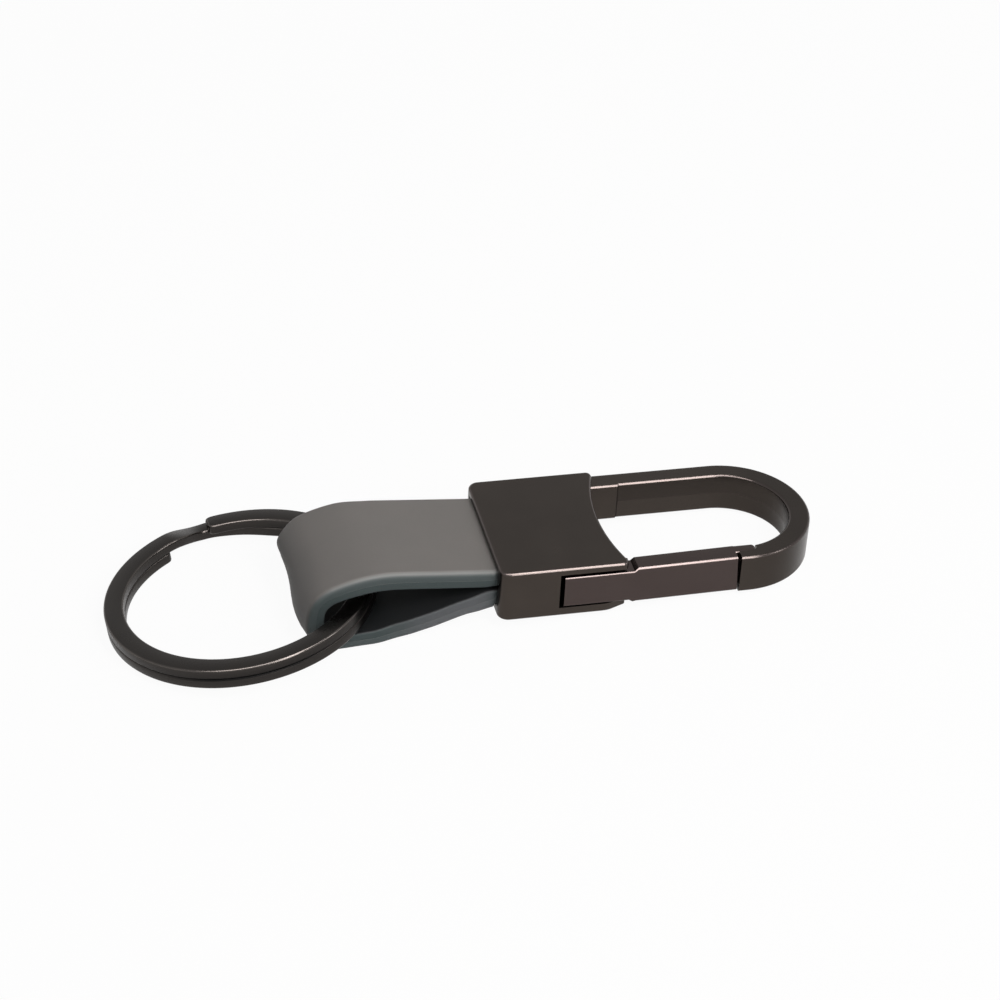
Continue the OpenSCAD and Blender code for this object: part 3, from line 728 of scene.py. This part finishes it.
def fold_reach(heading, share):
    """How far the fold reaches further along the clip at one place across the strap."""
    low = fade(heading, 225, 265) * fade(heading, 345, 300)
    far_low = fade(heading, 245, 290) * fade(heading, 350, 315)
    high = fade(heading, 184, 222) * fade(heading, 282, 245)
    near_bulge = 0.24 * math.exp(-((share - 0.36) / 0.2) ** 2) - 0.5 * fade(share, 0.22, 0)
    far_hollow, far_bulge = 0.9 * fade(share, 0.3, 0.9), 0.5 * fade(share, 0.35, 1)
    return near_bulge * low - far_hollow * far_low + far_bulge * high


def crown_lift(x, heading, share):
    """How much higher the crown stands towards its far edge."""
    return 0.36 * fade(x, -13, -17) * fade(heading, 238, 205) * fade(share, 0, 0.8)


# %% Build one layer
def strap_layer(name, low, high, low_round, high_round, material, hollow=0.2):
    """One layer between two depths, with its painted edges and its other marks."""
    section = layer_section(low, high, low_round, high_round)
    half = strap_width / 2
    points, painted, lower, painted_rim_highlight, painted_fold_shade = [], [], [], [], []
    for (near, heading), (far, _) in zip(near_path, far_path):
        a = math.radians(heading)
        aside = Vector((-math.sin(a), math.cos(a)))
        for u, depth, edge, rim in section:
            share = (u + half) / strap_width
            layer_share = depth / both_thick + 0.5
            inward = hollow * drawn_in(heading) * (1 - (u / half) ** 2)
            inward += swelling(near.x, heading, layer_share)
            place = near.lerp(far, share) + (depth + inward) * aside
            across, down = lying(near.x, heading)
            up = crown_lift(near.x, heading, share) - down
            points.append(to_frame(place.x - fold_reach(heading, share), u + across, place.y + up))
            painted.append(edge)
            lower.append(fade(heading, 355, 372) * fade(near.x, -15, -7))
            # painted highlight along the upper leaf only
            painted_rim_highlight.append(rim * fade(heading, 222, 184))
            # painted shade over the fold
            painted_fold_shade.append(0.62 * fade(heading, 206, 268) * fade(heading, 372, 352))
    n, m = len(section), len(near_path)
    faces = [(k * n + i, k * n + (i + 1) % n, (k + 1) * n + (i + 1) % n, (k + 1) * n + i)
             for k in range(m - 1) for i in range(n)]
    faces += [tuple(range(n - 1, -1, -1)), tuple((m - 1) * n + i for i in range(n))]
    mesh = bpy.data.meshes.new(name)
    mesh.from_pydata(points, [], faces)
    for label, values in (("painted_edge", painted), ("lower_leaf", lower),
                          ("painted_rim_highlight", painted_rim_highlight), ("painted_fold_shade", painted_fold_shade)):
        mesh.attributes.new(label, "FLOAT", "POINT").data.foreach_set("value", values)
    mesh.materials.append(material)
    piece = bpy.data.objects.new(name, mesh)
    bpy.context.scene.collection.objects.link(piece)
    return piece


def volume(piece):
    """The piece's volume in cubic metres."""
    shape = bmesh.new()
    shape.from_mesh(piece.data)
    size = shape.calc_volume(signed=True)
    shape.free()
    return size


outside, glued, inside = -both_thick / 2, leather_thick - both_thick / 2, both_thick / 2
leather_piece = strap_layer("leather", outside, glued, 0.75, 0.02, outer_leather)
lining_piece = strap_layer("lining", glued, inside, 0.02, 0.3, inner_leather)
for piece in (leather_piece, lining_piece):
    print(piece.name, len(piece.data.polygons), "faces,", round(volume(piece) * 1e9, 1), "mm3")

# %% [markdown]
# ## Holes for the strap's pins
#
# Two pins go through the strap's ends inside the block. Their holes can't be seen, but
# the layers would run through the pins without them. A Boolean modifier cuts them, and
# the result is turned into a plain mesh, so that no modifier is left.


# %% Cut the pin holes
pin_x, pin_y = strap_in / 2, strap_width / 4
hole_radius, hole_sides, drill_reach = 0.8, 40, 4
drill_mesh = bpy.data.meshes.new("drill")
drill_shape = bmesh.new()
for sideways in (-pin_y, pin_y):
    rounds = []
    for z in (-drill_reach, drill_reach):
        turns = [math.tau * i / hole_sides for i in range(hole_sides)]
        rounds.append([drill_shape.verts.new(to_frame(pin_x + hole_radius * math.cos(turn),
                                                      sideways + hole_radius * math.sin(turn), z))
                       for turn in turns])
    low_round, high_round = rounds
    drill_shape.faces.new(low_round[::-1])
    drill_shape.faces.new(high_round)
    for i in range(hole_sides):
        after = (i + 1) % hole_sides
        drill_shape.faces.new((low_round[i], low_round[after], high_round[after], high_round[i]))
drill_shape.to_mesh(drill_mesh)
drill_shape.free()
drill = bpy.data.objects.new("drill", drill_mesh)
bpy.context.scene.collection.objects.link(drill)
for piece in (leather_piece, lining_piece):
    cut = piece.modifiers.new("pin_holes", "BOOLEAN")
    cut.operation, cut.solver, cut.object = "DIFFERENCE", "EXACT", drill
    before = volume(piece)
    evaluated_copy(piece)
    shade_smoothly(piece)
    print(piece.name, "lost", round((before - volume(piece)) * 1e9, 2), "mm3 to the holes")
bpy.data.objects.remove(drill)

# %% [markdown]
# ## The split ring as a node tree
#
# The ring is one flat wire wound in two turns. Along its length only three things
# change: the angle, the level, which steps down at the crossover, and the radius, which
# swells where the lower turn is pushed aside. That is a rule, so Geometry Nodes build
# it: a line is resampled, each point is placed by the rule, and a rounded flat section
# is swept along it. The tree's inputs are the wire's real sizes.


# %% Helpers for Geometry Nodes
def new_tree(name, sizes):
    tree = bpy.data.node_groups.new(name, "GeometryNodeTree")
    tree.interface.new_socket(name="Geometry", in_out="OUTPUT", socket_type="NodeSocketGeometry")
    for label, value in sizes.items():
        kind = "NodeSocketMaterial" if value is None else "NodeSocketFloat"
        socket = tree.interface.new_socket(name=label, in_out="INPUT", socket_type=kind)
        if value is not None:
            socket.default_value = value
    return tree, tree.nodes.new("NodeGroupInput"), tree.nodes.new("NodeGroupOutput")


def grow(name, tree, values):
    """Run a tree once on an empty mesh, with its inputs set, and keep a plain mesh."""
    piece = bpy.data.objects.new(name, bpy.data.meshes.new(name))
    bpy.context.scene.collection.objects.link(piece)
    maker = piece.modifiers.new(name, "NODES")
    maker.node_group = tree
    for item in tree.interface.items_tree:
        if item.in_out == "INPUT" and item.name in values:
            maker[item.identifier] = values[item.name]
    evaluated_copy(piece)
    shade_smoothly(piece)
    return piece


def smooth_step(tree, value, start, end, first, last):
    """A Map Range from first to last; each value is a number or a (node, socket) pair."""
    node = add(tree, "ShaderNodeMapRange", interpolation_type="SMOOTHSTEP")
    for label, given in (("Value", value), ("From Min", start), ("From Max", end),
                         ("To Min", first), ("To Max", last)):
        if isinstance(given, tuple):
            join(tree, given, (node, label))
        else:
            node.inputs[label].default_value = given
    return (node, 0)


# %% Build the ring's tree
ring_sizes = {"Outer diameter": 0.0339, "Wire width": 0.0025, "Wire thickness": 0.00136,
              "Edge radius": 0.00026, "Turn gap": 0.00001, "Swell": 0.0012, "End radius": 0.0009,
              "Pinch": 0.22, "First angle": math.radians(97.5), "Sweep": math.radians(698.5),
              "Finish": None}
# how far along the wire the step and the swell end, and the pinch comes and goes
stepped_down, swell_gone = math.radians(359), math.radians(394)
pinch_comes, pinch_full = math.radians(343), math.radians(355)
pinch_eases, pinch_gone = math.radians(357), math.radians(372)
ring_tree, enter, leave = new_tree("two_turn_wire", ring_sizes)
line = add(ring_tree, "GeometryNodeCurvePrimitiveLine")
fine_line = add(ring_tree, "GeometryNodeResampleCurve", {"Count": 1100})
join(ring_tree, (line, 0), (fine_line, 0))
share = add(ring_tree, "GeometryNodeSplineParameter")
swept = math_node(ring_tree, "MULTIPLY", (share, "Factor"), (enter, "Sweep"))
angle = math_node(ring_tree, "SUBTRACT", (enter, "First angle"), swept)
step_start = math_node(ring_tree, "SUBTRACT", (enter, "Sweep"), stepped_down)
level = smooth_step(ring_tree, swept, step_start, stepped_down, 1.0, 0.0)
fading = smooth_step(ring_tree, swept, stepped_down, swell_gone, 1.0, 0.0)
pushed = math_node(ring_tree, "MULTIPLY", math_node(ring_tree, "SUBTRACT", 1.0, level), fading)
middle = math_node(ring_tree, "MULTIPLY", (enter, "Outer diameter"), 0.5)
middle = math_node(ring_tree, "MULTIPLY_ADD", (enter, "Wire width"), -0.5, middle)
middle = math_node(ring_tree, "MULTIPLY_ADD", (enter, "Swell"), pushed, middle)
lift = math_node(ring_tree, "ADD", (enter, "Wire thickness"), (enter, "Turn gap"))
height = math_node(ring_tree, "MULTIPLY", lift, level)
height = math_node(ring_tree, "MULTIPLY_ADD", (enter, "Wire thickness"), 0.5, height)
place = add(ring_tree, "ShaderNodeCombineXYZ")
for axis, part in enumerate(("COSINE", "SINE")):
    sideways = math_node(ring_tree, "MULTIPLY", middle, math_node(ring_tree, part, angle))
    join(ring_tree, sideways, (place, axis))
join(ring_tree, height, (place, 2))
wound = add(ring_tree, "GeometryNodeSetPosition")
join(ring_tree, (fine_line, 0), (wound, 0))
join(ring_tree, (place, 0), (wound, "Position"))
level_line = add(ring_tree, "GeometryNodeSetCurveNormal", mode="Z_UP")
join(ring_tree, (wound, 0), (level_line, 0))

# %% Keep what the ends need, sweep the section and round the ends
keep = add(ring_tree, "GeometryNodeCaptureAttribute")
keep.capture_items.new("FLOAT", "middle")
keep.capture_items.new("FLOAT", "from end")
keep.capture_items.new("FLOAT", "pinched")
join(ring_tree, (level_line, 0), (keep, 0))
join(ring_tree, middle, (keep, 1))
other_end = math_node(ring_tree, "SUBTRACT", 1.0, (share, "Factor"))
nearest = math_node(ring_tree, "MINIMUM", (share, "Factor"), other_end)
turn_length = math_node(ring_tree, "MULTIPLY", nearest, (enter, "Sweep"))
join(ring_tree, math_node(ring_tree, "MULTIPLY", turn_length, middle), (keep, 2))
rising = smooth_step(ring_tree, swept, pinch_comes, pinch_full, 0.0, 1.0)
falling = smooth_step(ring_tree, swept, pinch_eases, pinch_gone, 1.0, 0.0)
pinched = math_node(ring_tree, "MULTIPLY", rising, falling)
pinched = math_node(ring_tree, "MULTIPLY", pinched, (enter, "Pinch"))
join(ring_tree, math_node(ring_tree, "SUBTRACT", 1.0, pinched), (keep, 3))
flat = add(ring_tree, "GeometryNodeCurvePrimitiveQuadrilateral")
join(ring_tree, (enter, "Wire width"), (flat, "Width"))
join(ring_tree, (enter, "Wire thickness"), (flat, "Height"))
rounded = add(ring_tree, "GeometryNodeFilletCurve", {"Count": 4}, mode="POLY")
join(ring_tree, (flat, 0), (rounded, 0))
join(ring_tree, (enter, "Edge radius"), (rounded, "Radius"))
wire = add(ring_tree, "GeometryNodeCurveToMesh", {"Fill Caps": True})
join(ring_tree, (keep, 0), (wire, 0))
join(ring_tree, (rounded, 0), (wire, "Profile Curve"))
spot = add(ring_tree, "GeometryNodeInputPosition")
parts = add(ring_tree, "ShaderNodeSeparateXYZ")
join(ring_tree, (spot, 0), (parts, 0))
squares = math_node(ring_tree, "MULTIPLY_ADD", (parts, 0), (parts, 0),
                    math_node(ring_tree, "MULTIPLY", (parts, 1), (parts, 1)))
out = math_node(ring_tree, "SQRT", squares)
near_share = math_node(ring_tree, "DIVIDE", (keep, 2), (enter, "End radius"))
into = math_node(ring_tree, "SUBTRACT", 1.0, math_node(ring_tree, "MINIMUM", near_share, 1.0))
round_share = math_node(ring_tree, "SUBTRACT", 1.0, math_node(ring_tree, "MULTIPLY", into, into))
inset = math_node(ring_tree, "SUBTRACT", 1.0, math_node(ring_tree, "SQRT", round_share))
narrowed = math_node(ring_tree, "MULTIPLY", inset, (enter, "End radius"))
narrowed = math_node(ring_tree, "MULTIPLY", narrowed, 2.0)
narrowed = math_node(ring_tree, "DIVIDE", narrowed, (enter, "Wire width"))
width_left = math_node(ring_tree, "SUBTRACT", 1.0, narrowed)
width_left = math_node(ring_tree, "MULTIPLY", width_left, (keep, 3))
new_out = math_node(ring_tree, "MULTIPLY_ADD", math_node(ring_tree, "SUBTRACT", out, (keep, 1)),
                    width_left, (keep, 1))
ratio = math_node(ring_tree, "DIVIDE", new_out, out)
moved = add(ring_tree, "ShaderNodeCombineXYZ")
join(ring_tree, math_node(ring_tree, "MULTIPLY", (parts, 0), ratio), (moved, 0))
join(ring_tree, math_node(ring_tree, "MULTIPLY", (parts, 1), ratio), (moved, 1))
join(ring_tree, (parts, 2), (moved, 2))
shaped = add(ring_tree, "GeometryNodeSetPosition")
join(ring_tree, (wire, 0), (shaped, 0))
join(ring_tree, (moved, 0), (shaped, "Position"))
real = add(ring_tree, "GeometryNodeRealizeInstances")
join(ring_tree, (shaped, 0), (real, 0))
finish = add(ring_tree, "GeometryNodeSetMaterial")
join(ring_tree, (real, 0), (finish, 0))
join(ring_tree, (enter, "Finish"), (finish, "Material"))
join(ring_tree, (finish, 0), (leave, 0))


# %% Mark the seam between the turns
def mark_seam(piece, seam_height, first, last, darkest_angle=-92):
    """1 where the two turns face each other, as painted shade in the gap, and 0 elsewhere."""
    values = []
    for vert in piece.data.vertices:
        angle = math.degrees(math.atan2(vert.co.y, vert.co.x))
        away_from_ends = 1 - fade(angle, first - 8, first) * fade(angle, last + 8, last)
        # the painted shade is strongest round one angle of the ring and weaker away from it
        shade_strength = 0.5 + 0.5 * fade(abs(angle - darkest_angle), 60, 15)
        beside_seam = fade(abs(vert.co.z - seam_height) / MM, 0.32, 0.16)
        values.append(beside_seam * shade_strength * away_from_ends)
    piece.data.attributes.new("painted_shade", "FLOAT", "POINT").data.foreach_set("value", values)
    print("seam marked at", sum(v > 0.5 for v in values), "points")


# %% Grow the ring and lay it in its place
ring_piece = grow("key_ring", ring_tree, {**ring_sizes, "Finish": ring_metal})
half_height = 0.001375
mark_seam(ring_piece, half_height, first=98.5, last=119)
ring_axis = Vector(joints["ring_spin"]["axis"])
ring_floor = Vector(joints["ring_spin"]["pos_m"]) - half_height * ring_axis
lean = Euler((-math.asin(ring_axis.y), math.atan2(ring_axis.x, ring_axis.z), 0))
ring_piece.data.transform(Matrix.Translation(ring_floor) @ lean.to_matrix().to_4x4())
mark_edges(ring_piece)
print("ring:", len(ring_piece.data.polygons), "faces,", round(volume(ring_piece) * 1e9, 1), "mm3")

# %% [markdown]
# ## The gate's spring
#
# A small compression spring sits in a pocket of the gate's tail and pushes the gate shut.
# Only its end can be glimpsed, but it is wound as a real one is: the first and the last
# turn lie flat against their neighbours, and the turns between are spread evenly. That is
# again a rule, so a second tree winds it: the height of each point follows from how many
# turns have gone by.

# %% Build the spring's tree
spring_x, pocket_floor, pocket_mouth, wall_y = 12.85, -8.65, -7.2, -4.1
coil_sizes = {"Radius": 0.0008, "Wire radius": 0.00015, "Length": (wall_y - pocket_floor) * MM,
              "Turns": 6.0, "Finish": None}
coil_tree, enter, leave = new_tree("closed_end_coil", coil_sizes)
line = add(coil_tree, "GeometryNodeCurvePrimitiveLine")
fine_line = add(coil_tree, "GeometryNodeResampleCurve", {"Count": 240})
join(coil_tree, (line, 0), (fine_line, 0))
share = add(coil_tree, "GeometryNodeSplineParameter")
turn = math_node(coil_tree, "MULTIPLY", (share, "Factor"), (enter, "Turns"))
angle = math_node(coil_tree, "MULTIPLY", turn, math.tau)
wire_across = math_node(coil_tree, "MULTIPLY", (enter, "Wire radius"), 2.0)
wires_high = math_node(coil_tree, "ADD", (enter, "Turns"), 1.0)
packed = math_node(coil_tree, "MULTIPLY", wire_across, wires_high)
spare = math_node(coil_tree, "SUBTRACT", (enter, "Length"), packed)
last_open = math_node(coil_tree, "SUBTRACT", (enter, "Turns"), 1.0)
opened = smooth_step(coil_tree, turn, 1.0, last_open, 0.0, 1.0)
climb = math_node(coil_tree, "MULTIPLY_ADD", wire_across, turn, (enter, "Wire radius"))
climb = math_node(coil_tree, "MULTIPLY_ADD", spare, opened, climb)
place = add(coil_tree, "ShaderNodeCombineXYZ")
for axis, part in ((0, "COSINE"), (2, "SINE")):
    sideways = math_node(coil_tree, part, angle)
    sideways = math_node(coil_tree, "MULTIPLY", (enter, "Radius"), sideways)
    join(coil_tree, sideways, (place, axis))
join(coil_tree, climb, (place, 1))
wound = add(coil_tree, "GeometryNodeSetPosition")
join(coil_tree, (fine_line, 0), (wound, 0))
join(coil_tree, (place, 0), (wound, "Position"))
thread = add(coil_tree, "GeometryNodeCurvePrimitiveCircle", {"Resolution": 12})
join(coil_tree, (enter, "Wire radius"), (thread, "Radius"))
wire = add(coil_tree, "GeometryNodeCurveToMesh", {"Fill Caps": True})
join(coil_tree, (wound, 0), (wire, 0))
join(coil_tree, (thread, 0), (wire, "Profile Curve"))
real = add(coil_tree, "GeometryNodeRealizeInstances")
join(coil_tree, (wire, 0), (real, 0))
finish = add(coil_tree, "GeometryNodeSetMaterial")
join(coil_tree, (real, 0), (finish, 0))
join(coil_tree, (enter, "Finish"), (finish, "Material"))
join(coil_tree, (finish, 0), (leave, 0))

# %% Wind the spring and seat it in the gate's pocket
spring_piece = grow("gate_coil", coil_tree, {**coil_sizes, "Finish": spring_metal})
nose_down = Euler((0, clip_tilt, 0)).to_matrix().to_4x4()
spring_piece.data.transform(Matrix.Translation(to_frame(spring_x, pocket_floor, 0)) @ nose_down)
print("spring:", len(spring_piece.data.polygons), "faces,",
      round(volume(spring_piece) * 1e9, 2), "mm3")

# %% [markdown]
# ## What moves with what
#
# Each piece follows one body of the CAD model and stands for one of its solids. The
# spring is the exception: its outer end sits in the gate's pocket and its inner end
# against the block's wall, and here it follows no body; its place is baked into its mesh.

# %% Which body each piece follows, and what it stands for
for piece, node, body, finish in ((hook_piece, "clip_body", "clip", "body_metal"),
                                  (gate_piece, "gate", "gate", "gate_metal"),
                                  (leather_piece, "strap_leather", "clip", "strap_leather"),
                                  (lining_piece, "strap_lining", "clip", "strap_lining"),
                                  (ring_piece, "split_ring", "ring", "ring_metal"),
                                  (spring_piece, "gate_spring", None, "spring_steel")):
    if body:
        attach(piece, body)
    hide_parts(node)
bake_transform(spring_piece)
